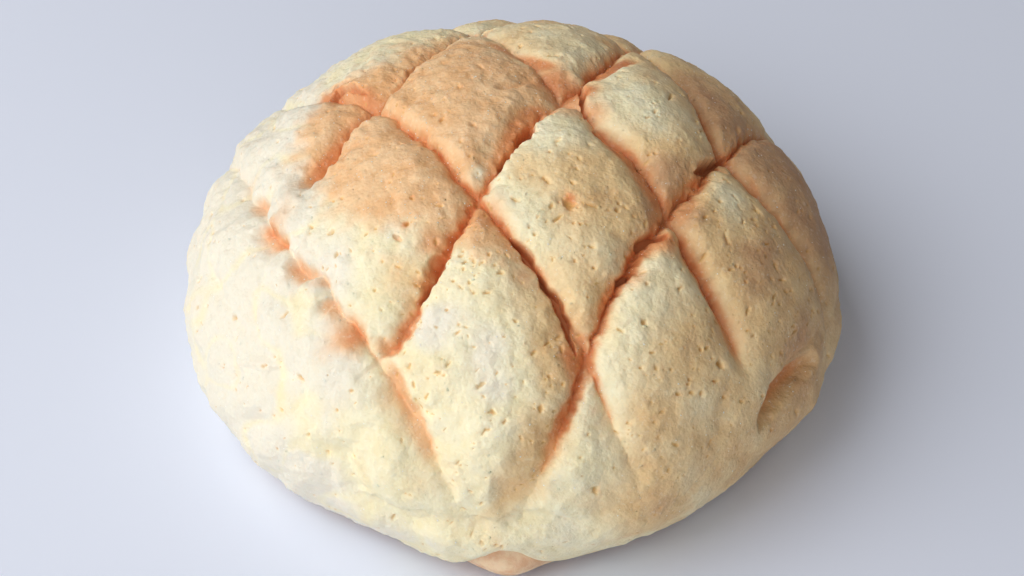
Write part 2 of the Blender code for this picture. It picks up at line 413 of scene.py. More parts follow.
# Where a score spread into a smooth valley as the roll swelled: its way from the back to the front,
# its half width at either end, how soft its left edge is, its right edge as a share of that, its
# depth and its share of toasting and painted warm glow. All places and sizes are in millimetres on the flat
# sheet.
VALLEYS = [
    ([(11, 5), (7.5, 3.4), (4.2, 1.2), (1.5, -2.2), (0, -5.5), (-1.8, -9.5), (-4, -15), (-5, -18)],
     (1.6, 0.3), 2.0, 0.5, 0.9, 0.9),
    ([(10, 14.5), (10, 9), (11, 3)], (1.8, 1.4), 3.4, 0.8, 0.9, 0.9),
    ([(23, 25), (18.5, 19.5), (15.5, 16), (12.5, 12)], (1.0, 1.2), 2.2, 0.5, 1.2, 1.0),
    ([(-5, 26.5), (1, 21), (5, 17), (10, 13.5)], (0.2, 0.4), 2.2, 0.5, 0.5, 0.9),
    ([(12.5, 1), (15.5, -2.8), (18, -5.5), (21, -9.5), (24, -13.5), (27.5, -18.5)],
     (0.4, 0.9), 2.2, 0.7, 0.8, 1.0),
    ([(-20.8, 14), (-24.9, 8.5), (-29.3, 2.6), (-32.7, -2.7), (-35.2, -7), (-38.5, -10)],
     (0.5, 0.3), 2.6, 0.5, 1.2, 1.0),
    ([(-24.3, 8.1), (-18.1, 0.2), (-12, -7.8), (-6.1, -15.9)], (0.2, 0.2), 1.8, 0.5, 0.3, 0.75),
    ([(-4.5, -17), (-7.5, -22), (-11.5, -28)], (0.2, 0.4), 1.4, 0.5, 0.4, 0.7),
    ([(-14.5, -34), (-17, -38.5), (-20.5, -42), (-25, -41)], (0.6, 0.7), 2.0, 0.5, 1.0, 0.65),
    ([(-22.5, -42), (-20.2, -47), (-18, -52), (-16, -57), (-13, -63)], (0.6, 0.5), 2.8, 0.5, 0.9, 0.6),
    ([(32, -8), (30.8, -12), (29.2, -15.5), (27.3, -19.8)], (0.8, 1.1), 1.9, 0.5, 1.2, 0.7),
    ([(28, -18.5), (24.5, -22.5), (21.5, -26), (19.5, -30), (16.5, -34.5), (14, -41)],
     (0.6, 0.4), 1.8, 0.5, 0.9, 0.95),
    ([(12.5, -43), (13.6, -46.8), (12, -50.5), (9.2, -54.5), (8, -58), (6.8, -61.5), (4.5, -65)],
     (0.5, 0.4), 1.6, 0.5, 1.0, 0.85),
    ([(-47.3, -2.5), (-46.8, -5.5), (-45.8, -9)], (0.6, 0.9), 1.7, 0.5, 0.9, 0.5),
    ([(-44.6, -11.5), (-43, -14.5), (-40.5, -20)], (0.9, 1.2), 1.8, 0.5, 1.0, 0.6),
    ([(-38.6, -22), (-36.8, -24), (-34.8, -27)], (1.1, 1.0), 1.8, 0.5, 0.9, 0.55),
    ([(-33.2, -31.5), (-31.2, -34)], (0.8, 0.8), 1.8, 0.5, 0.8, 0.55),
    ([(28.6, -18.9), (32, -24.5), (35.7, -29.4), (38.7, -33.4), (41.1, -37.5), (43.3, -41.2)],
     (0.8, 0.4), 2.0, 0.5, 1.4, 1.0),
    ([(33, 20), (35, 12), (36.8, 6), (38.3, 0)], (0.4, 0.5), 1.5, 0.5, 0.8, 0.8),
    ([(39.5, 1.5), (43.5, -1), (47.5, -5.5), (51, -9), (57, -13), (63, -15)],
     (0.2, 0.1), 1.1, 0.5, 0.5, 0.65),
    ([(62.5, -29.5), (58.5, -35), (54.5, -40), (52, -45), (50, -49.5)], (0.4, 0.6), 1.7, 0.5, 3.0, 1.0),
    ([(14, -49), (16.5, -54.5), (18, -60)], (0.5, 0.8), 2.6, 1.0, 0.9, 0.2),
    ([(6, -67), (0, -66.5), (-4, -65)], (0.6, 0.9), 2.2, 1.0, 0.9, 0.3),
    ([(-53, -36.5), (-47, -41), (-40, -43)], (0.5, 0.4), 1.8, 0.5, 0.8, 0.12),
    ([(4.2, 12.5), (1.5, 8.2), (-3, 6)], (0.3, 0.1), 1.0, 0.5, 0.6, 0.5),
    ([(-34.5, -63), (-30, -66.5), (-23, -70), (-15.5, -71), (-9.5, -72), (-2.5, -72.5), (5, -71), (20, -73)],
     (0.4, 0.4), 2.0, 0.5, 1.1, 0.06),
    ([(-30, -55), (-31, -60), (-31, -66)], (0.3, 0.3), 2.4, 0.5, 0.8, 0.1),
]
# Where the dough bulges or sinks besides: the place, how far round it and how high.
SWELLS = [
    (-20.5, 4.5, 3.5, 0.8), (-22, -62, 6.5, 1.4), (-3, -60, 6, 0.9), (12, -62, 5, 0.9), (28, -63, 8, 0.9),
    (-39, -54, 8, 1.2), (-53, -40, 8, 1.0), (-60, -12, 9, 0.8), (28, -17.5, 2.2, -0.5),
    (9.5, -19.3, 1.6, -0.45), (4, 4, 8, -0.5), (-29, 16, 5, 0.8),
]
# Where the crust is stained by sugar that ran and browned, and painted with the warm glow of light scattered
# and bounced there: the place, how far round it, how much.
STAINED_AND_GLOWING = [
    (-49, 1, 3.0, 0.35), (-46.5, -7.5, 2.0, 0.5), (-43.5, -12.5, 1.8, 0.5), (-41, -18, 2.6, 0.65),
    (-37, -24, 2.6, 0.6), (-34, -28, 1.8, 0.5), (-30.5, -33.5, 2.2, 0.5), (-27, -38.5, 3.0, 0.5),
    (9.5, -19.4, 1.2, 1.0), (11.5, -39, 3, 0.4), (11.5, -47, 3.2, 0.7), (25.5, -22.3, 3.4, 1.05),
    (12.5, 9, 2.6, 0.9), (8, 11.5, 5, 1.0), (-43.5, -15, 3.0, 0.45), (-13, -26, 3.5, 0.7),
    (9, -20, 5, 0.3), (39, -35, 4, 0.5), (20, -30, 3, 0.7), (2.5, -32, 3, 0.6), (-26, 6.5, 3.5, 1.0),
    (-3, 11, 7, 0.3), (-26.8, -41, 2.8, 0.25), (-31, -39, 4, 0.5), (-21.5, -49.5, 3.5, 0.4),
    (14, 3, 3.5, 0.65), (9, 2, 3, 0.4), (-38.5, -12, 4, 0.45), (-32.5, 16, 4.0, 0.85),
    (-26, 12, 3.5, 0.7), (-18.5, -55, 3.2, 0.35), (-1.5, -65, 3, 0.3), (16, -55, 2.4, 0.25),
    (-17, -22, 0.8, 0.8), (-16, -17.5, 0.8, 0.7), (-24, -20, 2, 0.25), (-5, -19.5, 5, 0.5),
    (10.5, -44, 2.6, 0.9), (-3, -24, 4.5, 0.3),
]
# Where the crust tore right open: its way, its half width at either end and its depth.
TEARS = [
    ([(-0.5, -24.5), (2.2, -27.5), (4.2, -31)], (0.5, 0.85), 1.8),
    ([(4, -30.4), (6.8, -35), (9, -38.8), (11.2, -44.5)], (0.95, 0.8), 2.3),
    ([(4.2, -1), (2.6, -4), (0.6, -6.5)], (1.3, 1.4), 2.4),
    ([(0, -7.4), (-1.2, -10.2), (-2, -12)], (1.3, 0.8), 2.6),
    ([(-11.4, -27.2), (-12.4, -30), (-13.8, -33), (-15.3, -36)], (1.9, 0.7), 1.5),
    ([(20.6, -29.2), (18.8, -30.6), (17.6, -31.6)], (0.7, 0.6), 2.2),
    ([(27, -20.6), (25.2, -21.6), (23.2, -22.4), (21, -24.6)], (1.0, 0.8), 2.8),
    ([(39.8, 4.4), (37.5, 0.8), (34.3, -3), (31.4, -6.4)], (0.6, 1.0), 3.0),
    ([(13.8, -1.8), (15.8, -3.8), (18.2, -6)], (1.0, 0.6), 2.0),
    ([(12.6, 13), (12.7, 9), (12.7, 4), (12.8, 0.5)], (0.8, 0.5), 1.8),
    ([(-34, 14.5), (-31.5, 16.5), (-28.5, 15.5), (-26, 12.5)], (0.9, 0.8), 2.0),
    ([(-32.6, 19), (-30.6, 18.4), (-28.8, 18.8)], (0.7, 0.5), 1.2),
    ([(-19.2, 17.8), (-15.3, 22)], (0.6, 0.6), 1.0),
    ([(-6.5, 32.6), (-3, 35.5)], (1.2, 1.2), 2.0),
    ([(-19.4, -23.6), (-17.6, -24.6)], (0.45, 0.35), 0.7),
]
# Where the crust is coloured darker and tan, or paler and whiter below 0: partly baking, partly painted shade
# and painted light. The place, how far round it and how much.
BAKED_AND_LIT_SPOTS = [
    (13, -13, 7, 0.6), (17, -22, 6, 0.4), (12, -36, 6, 0.3), (8, -43, 5, 0.5), (26, -9, 7, 0.65),
    (17, 9, 4, 0.15), (29, -41, 7, 0.55), (43, -18, 8, 0.5), (32, -16, 4, 0.4), (48, 10, 14, 0.7),
    (34, 21, 7, 0.5), (64, 0, 16, 0.7), (60, -32, 12, 0.4), (31, -61, 12, 0.22), (1, 25, 5, 0.25),
    (9, 25, 7, -0.1), (38, -8, 6, -0.22), (8, -6, 5, -0.2), (25, 7, 6, -0.15), (5.5, -57, 5, 0.6),
    (1, -64, 5, 0.45), (4, -38, 5, 0.35), (-27, -57, 6, 0.22), (-16, -66, 8, 0.22), (38, -12, 5, -0.3),
    (-14, -40, 6, -0.3), (41, -45, 6, 0.3), (3, -13, 4, 0.3), (20, 5, 5, -0.3), (21, 15, 5, -0.3),
    (-31, -27, 5, -0.25), (26, -16, 4, 0.8), (24, -54, 6, 0.25), (32, -68, 7, 0.35), (14, -32, 4, 0.35),
    (20, -42, 5, -0.1), (9, -20, 6, 0.25), (-39, -43, 6, 0.15), (32, -23, 4, 0.4), (57, -48, 9, 0.3),
    (7.5, -48.5, 3.5, 0.6), (21.5, -66, 8, 0.35), (-16, -31, 4, 0.4), (0, 52, 28, 0.35),
]
# Where the crust broke up into crumbly lumps: the place, how far round it and how much.
CRUMBLY = [
    (-47, -4, 4, 0.9), (-44, -12, 4, 1.0), (-39.5, -20, 4.5, 1.0), (-34, -29, 4.5, 0.9),
    (-23, -41, 4.5, 1.0), (-31, 16, 5, 1.0), (-31, -1, 5, 0.7), (-12, -27, 3, 0.6), (2, -3, 3, 0.7),
    (22, -24, 3, 0.6), (-17, -52, 3, 0.6),
]
NUB_RISE = 0.5 * MM  # the fine lumps of the crust's face,
LOBE_RISE = 1.5 * MM  # and the broad ones low on its left
LOBE_SIZE = 9 * MM
BAKED_AND_SHADED_SIDE = 0.42  # how much more tan the bun's right side is than its left: partly deeper baking, partly painted shade on the side away from the light
TOASTED = [
    (-9, 6, 17, 1.3), (-23, -6, 12, 1.1), (-16, -14, 9, 1.0), (-3.5, -25, 6.0, 1.1), (-14, 20, 10, 0.8),
    (-31, 4, 8, 0.75), (-27, 13, 7, 0.7), (3, 10, 7, 0.6),
]
HEM = {"reach": 76 * MM, "half_width": 3.2 * MM, "out": 0.9 * MM}  # the crust's rolled lower edge
CRUST_TRIANGLES = 190000


def between_stations(values, along):
    """A smooth curve through one value for each station."""
    pitch = STATIONS[1] - STATIONS[0]
    place = np.clip((along / MM - STATIONS[0]) / pitch, 0, len(STATIONS) - 1.0001)
    first = place.astype(int)
    t = place - first
    padded = np.array([values[0], *values, values[-1]], float)
    before, here, after, beyond = (padded[first + k] for k in range(4))
    return 0.5 * (
        2 * here
        + (after - before) * t
        + (2 * before - 5 * here + 4 * after - beyond) * t**2
        + (3 * here - before - 3 * after + beyond) * t**3
    )


def shoulder(across, low):
    """How far the crust has risen from a score's bottom, from 0 on it to 1 on the tile."""
    rounded = np.hypot(across, GROOVE_BOTTOM) - GROOVE_BOTTOM
    crisp = CRISP_SHOULDER + (LOW_SHOULDER - CRISP_SHOULDER) * low
    near = np.clip(1 - rounded / np.where(across > 0, crisp, SOFT_SHOULDER), 0, 1)
    return np.sqrt(1 - near**2)


def family_of_scores(scores, along, across, low):
    """(share of the crust's rise, crease, left flank, way to the nearest score, scores to the left)."""
    level = np.ones_like(across)
    crease, flank = np.zeros_like(across), np.zeros_like(across)
    nearest = np.full_like(across, TILE_HALF)
    to_the_left = np.zeros(across.shape, int)
    for offsets, depths in scores:
        away = across - between_stations(offsets, along) * MM
        depth = between_stations(depths, along)
        level *= 1 - depth * (1 - shoulder(away, low))
        crease = np.maximum(crease, depth * np.exp(-((away / CREASE_WIDTH) ** 2)))
        flank = np.maximum(flank, depth * np.exp(-((away / np.where(away > 0, 0.8 * MM, FLANK_WIDTH)) ** 2)))
        nearest = np.minimum(nearest, np.abs(away))
        to_the_left += away > 0
    return level, crease, flank, nearest, to_the_left


def round_spots(u, v, spots):
    """The sum of soft round spots, each a place, how far round it and how much, in millimetres."""
    total = np.zeros_like(u)
    for spot_u, spot_v, radius, amount in spots:
        total += amount * np.exp(-((np.hypot(u - spot_u * MM, v - spot_v * MM) / (radius * MM)) ** 2))
    return total


def lattice(u, v):
    """(relief over the plain dome, how far sunk, crease, flank, column, row) at a place on the sheet."""
    right, front = math.cos(SCORE_ANGLE), math.sin(SCORE_ANGLE)
    reach = np.hypot(u, v)
    low = np.clip(np.maximum((reach - 38 * MM) / (24 * MM), (-u - 24 * MM) / (12 * MM)), 0, 1)
    falling, fall_crease, fall_flank, from_falling, column = family_of_scores(
        FALLING_SCORES, right * u - front * v, front * u + right * v, low
    )
    rising, rise_crease, rise_flank, from_rising, row = family_of_scores(
        RISING_SCORES, right * u + front * v, front * u - right * v, low
    )
    fade = 1 - (1 - FADE_TO) * np.clip((reach - FADE_START) / (FADE_END - FADE_START), 0, 1)
    still_open = 1 - np.clip(round_spots(u, v, [(*closed, 1.4) for closed in CLOSED]), 0, 0.95)
    sunk = fade * still_open * (1 - falling * rising)
    puff = np.full_like(u, USUAL_PUFF)
    for (tile_column, tile_row), height in TILE_PUFF.items():
        puff[(column == tile_column) & (row == tile_row)] = height
    roundness = np.sin(math.pi / 2 * from_falling / TILE_HALF) * np.sin(math.pi / 2 * from_rising / TILE_HALF)
    roundness += (1 - still_open) * (0.7 - roundness)
    crease = np.maximum(fall_crease, rise_crease) * still_open
    crease *= np.clip((CREASE_END - reach) / (12 * MM), 0, 1)
    flank = np.maximum(fall_flank, rise_flank) * still_open * fade
    relief = fade * puff * roundness - GROOVE_DEPTH * sunk - CREASE_DEPTH * crease
    return relief, sunk, crease, flank, column, row


def smooth(share):
    share = np.clip(share, 0, 1)
    return share * share * (3 - 2 * share)


def strokes_over(u, v, strokes):
    """For each stroke: its other values, the points near it, and each one's distance to it, side of
    it, half width, taper and direction to it."""
    for way, (first, last), *values in strokes:
        points = np.array(way) * MM
        low, high = points.min(0) - STROKE_REACH, points.max(0) + STROKE_REACH
        near = np.flatnonzero((u > low[0]) & (u < high[0]) & (v > low[1]) & (v < high[1]))
        here = np.stack([u[near], v[near]], axis=1)
        distance = np.full(len(near), 1.0)
        side, share, towards = np.ones(len(near)), np.zeros(len(near)), np.zeros((len(near), 2))
        lengths = arc_lengths(points)
        for start, end, before in zip(points, points[1:], lengths):
            step = end - start
            length = np.hypot(*step)
            t = np.clip((here - start) @ step / length**2, 0, 1)
            away = start + t[:, None] * step - here
            far = np.hypot(away[:, 0], away[:, 1])
            closer = far < distance
            distance[closer] = far[closer]
            share[closer] = (before + t[closer] * length) / lengths[-1]
            side[closer] = np.sign(step[1] * away[closer, 0] - step[0] * away[closer, 1])
            towards[closer] = away[closer] / np.maximum(far[closer], 1e-7)[:, None]
        taper = np.clip(1 - (2 * share - 1) ** 4, 0.02, 1)
        yield values, near, distance, side, (first + (last - first) * share) * MM * taper, taper, towards


def valleys_at(u, v):
    """(depth of the valleys, their toasting and painted warm glow)."""
    depth, toasting_and_glow = np.zeros_like(u), np.zeros_like(u)
    for values, near, distance, side, width, taper, _ in strokes_over(u, v, VALLEYS):
        edge, right_edge, deep, toasted = values
        softness = edge * MM * np.where(side > 0, right_edge, 1)
        beyond = np.clip(distance - width, 0, None) / softness
        depth[near] = np.maximum(depth[near], deep * MM * taper * np.exp(-(beyond**2)))
        spread = toasted * taper * np.exp(-((beyond / 0.8) ** 2))
        toasting_and_glow[near] = np.maximum(toasting_and_glow[near], spread)
    return depth, toasting_and_glow


def tears_at(u, v):
    """(depth of the tears, how open they are here, pull of their edges over them)."""
    depth, open_share, pull = np.zeros_like(u), np.zeros_like(u), np.zeros((len(u), 2))
    for (deep,), near, distance, _, width, taper, towards in strokes_over(u, v, TEARS):
        q = distance / width
        inside = 1 - smooth((q - 0.75) / 0.5)
        depth[near] = np.maximum(depth[near], deep * MM * taper * inside)
        strength = min(1, deep / 2.2)
        open_share[near] = np.maximum(open_share[near], inside * strength)
        edge = np.exp(-(((q - 1.8) / 0.8) ** 2)) * strength
        pull[near] += towards * (edge * 0.4 * width)[:, None]
    return depth, open_share, pull


PORE_SPACING = 2.6 * MM
USUAL_PORES = 0.45  # how porous a tile is, from 0 to 1
TILE_PORES = {
    (2, 4): 1.0, (3, 5): 0.7, (4, 5): 0.8, (3, 4): 0.6, (3, 3): 0.25, (2, 2): 0.15, (1, 3): 0.15, (1, 2): 0.1,
}
BIG_PORES = [  # where on the flat sheet, half width, half length and depth, all in millimetres
    (37, -41.5, 0.6, 0.8, 0.9), (16, -65.5, 0.6, 0.7, 0.8), (-38, -43.3, 0.5, 0.8, 0.8),
    (9.4, -19.4, 1.0, 1.3, 0.5), (7.6, -22.2, 0.4, 0.9, 0.6), (5.8, -15.4, 0.3, 0.9, 0.5),
    (17.2, -19.5, 0.4, 0.5, 0.5), (13, -19.6, 0.2, 1.2, 0.4), (7.4, -36, 0.3, 0.9, 0.6),
    (3.6, -29, 0.3, 0.5, 0.4), (-5, -49.5, 0.35, 0.8, 0.5), (-3, -53.5, 0.35, 0.6, 0.5),
    (5, -53, 0.4, 0.7, 0.6), (-12, -47, 0.35, 0.7, 0.5), (-17, -22, 0.4, 0.55, 0.6),
    (-16, -17.5, 0.35, 0.4, 0.5), (-29.5, -24.5, 0.4, 0.6, 0.4), (-6, -75.5, 0.3, 0.4, 0.4),
    (33, 4, 0.3, 1.0, 0.5), (27, 9, 0.3, 1.6, 0.6), (29, 13, 0.3, 1.8, 0.5), (24, 3, 0.3, 0.5, 0.4),
    (47, -20, 0.3, 1.0, 0.4), (-52.5, -27, 0.5, 0.6, 0.5), (-40, -32, 0.3, 0.9, 0.4),
    (-24, -22.5, 0.35, 0.45, 0.4), (-30, -20.5, 0.5, 0.6, 0.4), (33, -16, 0.25, 0.7, 0.5),
    (36, -11.5, 0.3, 0.5, 0.4), (40, -14, 0.2, 0.7, 0.5), (43.5, -10, 0.25, 0.9, 0.5),
    (33.5, -23, 0.25, 0.9, 0.5), (37, -19, 0.25, 1.3, 0.5), (48.5, -22, 0.25, 0.8, 0.5),
    (28, -2, 0.3, 0.3, 0.4), (22, -38, 0.5, 0.6, 0.6), (24.5, -45, 0.3, 0.5, 0.4),
    (29, -48, 0.35, 0.5, 0.5), (33.5, -47, 0.3, 0.6, 0.5),
]


def press_pores(place, normal, sheet, porous, last_reach):
    """(depth of the pores at each point, how deep in a pore it is from 0 to 1)."""
    random = np.random.default_rng(11)
    tries = int(math.pi * last_reach**2 / PORE_SPACING**2)
    reach = last_reach * np.sqrt(random.random(tries))
    azimuth = random.random(tries) * 2 * math.pi
    half_width = 0.15 * MM + 0.15 * MM * random.random(tries) ** 2
    length = half_width * (1 + 2.0 * random.random(tries) ** 2)
    turn = random.random(tries) * math.pi
    draw = random.random(tries)
    east, north = reach * np.cos(azimuth), reach * np.sin(azimuth)
    spots = list(zip(east, north, half_width, length, 1.6 * half_width, turn, draw))
    spots += [(u * MM, v * MM, w * MM, l * MM, d * MM, 0.9 + u, 0.0) for u, v, w, l, d in BIG_PORES]
    tree, sheet_tree = kdtree.KDTree(len(place)), kdtree.KDTree(len(place))
    for index, (point, (u, v)) in enumerate(zip(place, sheet)):
        tree.insert(point, index)
        sheet_tree.insert((u, v, 0), index)
    tree.balance()
    sheet_tree.balance()
    depth, share = np.zeros(len(place)), np.zeros(len(place))
    for u, v, width, length, deep, angle, drawn in spots:
        _, middle, _ = sheet_tree.find((u, v, 0))
        if drawn > porous[middle]:
            continue
        along = Vector((math.cos(angle), math.sin(angle), 0.3)).cross(Vector(normal[middle])).normalized()
        across = Vector(normal[middle]).cross(along)
        found = tree.find_range(place[middle], length * 1.4)
        index = np.array([hit[1] for hit in found])
        away = np.array([hit[0] for hit in found]) - place[middle]
        ragged = 1 + 0.5 * lumps(place[index], 0.5 * MM, 20)
        q = np.hypot(away @ np.array(along) / length, away @ np.array(across) / width) * ragged
        pit = np.clip(1 - q**2, 0, 1)
        depth[index] = np.maximum(depth[index], deep * np.sqrt(pit))
        share[index] = np.maximum(share[index], pit)
    return depth, share


def crust_sheet(directions):
    """The crust as plain dough on the roll: its arrays, with a value for each point.

    The points of its outside lie out to its lower edge, and the others go back in under it.
    """
    side = crown_curve(BELLY_RADIUS, BELLY_HEIGHT, CROWN_HEIGHT, 160)
    share = np.linspace(0, 1, 30)[1:]
    tuck_out = BELLY_RADIUS - (BELLY_RADIUS - LIP_RADIUS) * share**2
    tuck_up = BELLY_HEIGHT + (LIP_HEIGHT - BELLY_HEIGHT) * share
    outline = np.vstack([side, np.stack([tuck_out, tuck_up], axis=1)])
    end = arc_lengths(outline)[-1]
    azimuth = np.arctan2(directions[:, 1], directions[:, 0])
    polar = np.arccos(np.clip(directions[:, 2], -1, 1))
    outside = polar <= EDGE_POLAR
    ring = to_radial(azimuth) * BELLY_RADIUS
    arch = at_front(azimuth, LIP_ARCH["half_width"])
    arch *= 1 - LIP_ARCH["lean"] * (azimuth - FRONT) / LIP_ARCH["half_width"]
    edge = end - LIP_ARCH["up"] * arch
    edge -= 0.8 * MM * (1 + lumps(ring, 13 * MM, 4)) + 0.35 * MM * lumps(ring, 3 * MM, 5)
    under = end * (math.pi - polar) / (math.pi - EDGE_POLAR)
    even = np.where(outside, end * polar / EDGE_POLAR, under)
    low = np.clip((even - STEADY_REACH) / (end - STEADY_REACH), 0, None)
    reach = np.where(even > STEADY_REACH, STEADY_REACH + low * (edge - STEADY_REACH), even)
    place, normal, downhill = turned(outline, reach, azimuth)
    return SimpleNamespace(
        u=reach * np.cos(azimuth), v=reach * np.sin(azimuth), reach=reach, azimuth=azimuth, ring=ring,
        place=place, normal=normal, downhill=downhill, edge=edge, end=end, outside=outside,
    )


def risen_crust(sheet):
    """The crust's points once the roll has swelled under it, and the marks that this left on them."""
    u, v, reach, azimuth, ring = sheet.u, sheet.v, sheet.reach, sheet.azimuth, sheet.ring
    place, normal, downhill, outside = sheet.place, sheet.normal, sheet.downhill, sheet.outside
    lobed = 0.8 * MM + 2.2 * MM * np.clip((-u - 22 * MM) / (12 * MM), 0, 1)
    wander_u = lobed * lumps(place, 8 * MM, 6) + 0.65 * MM * lumps(place, 2.2 * MM, 7)
    wander_v = lobed * lumps(place, 8 * MM, 8) + 0.65 * MM * lumps(place, 2.2 * MM, 9)
    ragged = 0.35 * MM * lumps(place, 1.1 * MM, 16)
    wander_u += ragged
    wander_v -= ragged
    relief, sunk, crease, flank, column, row = lattice(u + wander_u, v + wander_v)
    valley, toasting_and_glow = valleys_at(u + 0.6 * wander_u, v + 0.6 * wander_v)
    torn, torn_open, pull = tears_at(u + 0.6 * wander_u + 0.3 * ragged, v + 0.6 * wander_v - 0.3 * ragged)
    relief += round_spots(u, v, SWELLS) * MM - valley
    on_tile = np.clip(1.2 - 1.5 * sunk - toasting_and_glow, 0, 1)
    relief += 0.55 * MM * lumps(place, 14 * MM, 10)
    nubs = 0.55 * lumps(place, 2.6 * MM, 12) + 0.45 * lumps(place, 1.3 * MM, 13)
    right_side = smooth((u + 0.3 * v + 2 * MM) / (42 * MM))
    relief += 0.36 * MM * lumps(place, 5.5 * MM, 11) * on_tile
    crumbly = np.clip(round_spots(u, v, CRUMBLY), 0, 1)
    relief += NUB_RISE * nubs * ((0.4 + 0.6 * on_tile) * (1 - 0.5 * right_side) + 1.3 * crumbly)
    low_side = np.clip((reach - 56 * MM) / (12 * MM), 0, 1)
    relief += low_side * 0.7 * MM * lumps(place, 10 * MM, 17)
    lobe = lumps(place, LOBE_SIZE, 22)
    lobed_side = np.maximum(0.5 * low_side, np.clip((-u - 26 * MM) / (14 * MM), 0, 1)) * (1 - right_side)
    relief += lobed_side * LOBE_RISE * (np.sqrt(lobe**2 + 0.02) - 0.26)
    hem = np.exp(-(((reach - HEM["reach"]) / HEM["half_width"]) ** 2))
    relief += HEM["out"] * hem * (0.6 + 0.9 * lumps(ring, 9 * MM, 21))
    relief += 0.06 * MM * lumps(place, 0.7 * MM, 18)
    relief -= torn
    porous = np.full(len(place), USUAL_PORES)
    for tile, amount in TILE_PORES.items():
        porous[(column == tile[0]) & (row == tile[1])] = amount
    porous *= np.clip(1.2 - 1.6 * toasting_and_glow, 0, 1) * (1 - torn_open) * (1 - 0.6 * low_side)
    pores, in_pore = np.zeros(len(place)), np.zeros(len(place))
    pores[outside], in_pore[outside] = press_pores(
        place[outside], normal[outside], np.stack([u, v], axis=1)[outside], porous[outside],
        sheet.end - 2 * MM,
    )
    relief -= pores
    to_edge = np.clip((sheet.edge - reach) / (2.5 * MM), 0, 1)
    relief *= np.sqrt(to_edge)
    relief[~outside] = 0
    place = place + relief[:, None] * normal
    over = pull[:, 0] * np.cos(azimuth) + pull[:, 1] * np.sin(azimuth)
    round_about = -pull[:, 0] * np.sin(azimuth) + pull[:, 1] * np.cos(azimuth)
    shift = over[:, None] * downhill + round_about[:, None] * np.cross(normal, downhill)
    place[outside] += shift[outside]
    inward = CRUST_THICKNESS * np.sqrt(np.clip((sheet.edge - reach) / (14 * MM), 0, 1))
    place[~outside] -= (inward[:, None] * normal)[~outside]
    place += rim_swell(azimuth, place[:, 2])[:, None] * to_radial(azimuth)
    return SimpleNamespace(
        place=place, column=column, row=row, sunk=sunk, crease=crease, flank=flank, nubs=nubs,
        toasting_and_glow=toasting_and_glow, torn_open=torn_open, porous=porous, in_pore=in_pore, to_edge=to_edge,
        right_side=right_side,
        shade_between_lobes=lobed_side * np.exp(-((lobe / 0.12) ** 2)),
        stain_u=u + 0.8 * wander_u, stain_v=v + 0.8 * wander_v,
    )


def browning(sheet, risen):
    """How the oven coloured the crust, with painted light and shade besides, and where it is gritty: shares
    by name for each point.
    """
    u, v, reach, nubs, sunk = sheet.u, sheet.v, sheet.reach, risen.nubs, risen.sunk
    patch, speck = lumps(risen.place, 6 * MM, 14), lumps(risen.place, 2 * MM, 15)
    toast = smooth((round_spots(u, v, TOASTED) + 0.3 * patch + 0.3 * speck + 0.2 * nubs - 0.15) / 0.9)
    toast[(risen.column == 4) | ((risen.column == 3) & (risen.row == 4))] = 0
    # The right side, turned from the light, is coloured tan: partly deeper baking, partly painted shade.
    bake_and_painted_light = round_spots(u, v, BAKED_AND_LIT_SPOTS) + BAKED_AND_SHADED_SIDE * risen.right_side
    # The left side, lit by the window, is painted whiter: painted light.
    lit_left_side = smooth((-u - 18 * MM) / (28 * MM))
    bake_and_painted_light += (0.25 * lumps(risen.place, 12 * MM, 19) + 0.2 * patch) * (1 - 0.75 * lit_left_side)
    # Tan in the creases between the lobes is painted shade, and the lit left side is painted whiter.
    bake_and_painted_light += 0.25 * risen.shade_between_lobes - 0.38 * lit_left_side
    # Orange in the grooves and on their left flanks: partly sugar browned there, partly painted warm glow of
    # light scattered and bounced in them.
    blotchy = np.clip(0.75 + (u + 22 * MM) / (30 * MM), 0.2, 1) * (1 + 0.5 * speck)
    stain_and_glow = np.maximum(risen.toasting_and_glow, smooth((sunk - 0.1) / 0.8) * 0.9 * blotchy)
    stain_and_glow = np.maximum(stain_and_glow, 0.62 * risen.flank * blotchy)
    stain_and_glow = np.maximum(stain_and_glow, round_spots(risen.stain_u, risen.stain_v, STAINED_AND_GLOWING)) * (1 + 0.35 * patch)
    stain_and_glow *= np.clip((78 * MM - reach) / (12 * MM), 0.2, 1)
    gritty = np.clip(0.35 + 0.65 * toast + 0.5 * sunk, 0, 1) * (1 - risen.torn_open)
    gritty *= 1 - np.clip(3 * risen.in_pore, 0, 1)
    gritty[~sheet.outside | (risen.to_edge < 0.6)] = 0
    return {
        "toast": toast,
        "bake_and_painted_light": np.clip(bake_and_painted_light, -0.4, 1.2),
        "stain_and_glow": stain_and_glow,
        # Dark in the tears, partly their own red-brown and partly painted shade, and painted shade along the
        # groove creases.
        "dark": np.clip(0.6 * risen.crease * blotchy + risen.torn_open, 0, 1),
        "pore": risen.in_pore,
        "porous": risen.porous,
        # Painted highlight on the crust's bumps, with painted shade in the hollows between them.
        "bump_highlight": np.clip(0.5 + 1.1 * nubs, 0, 1),
        "gritty": gritty,
        "tone": np.full(len(u), 0.5),
    }


def make_crust():
    mesh, directions = sphere_directions(9)
    sheet = crust_sheet(directions)
    risen = risen_crust(sheet)
    mesh.vertices.foreach_set("co", kept_in_box(risen.place).astype(np.float32).ravel())
    for name, values in browning(sheet, risen).items():
        set_attribute(mesh, name, values)
    return thinned(mesh, "cookie_crust", CRUST_TRIANGLES)


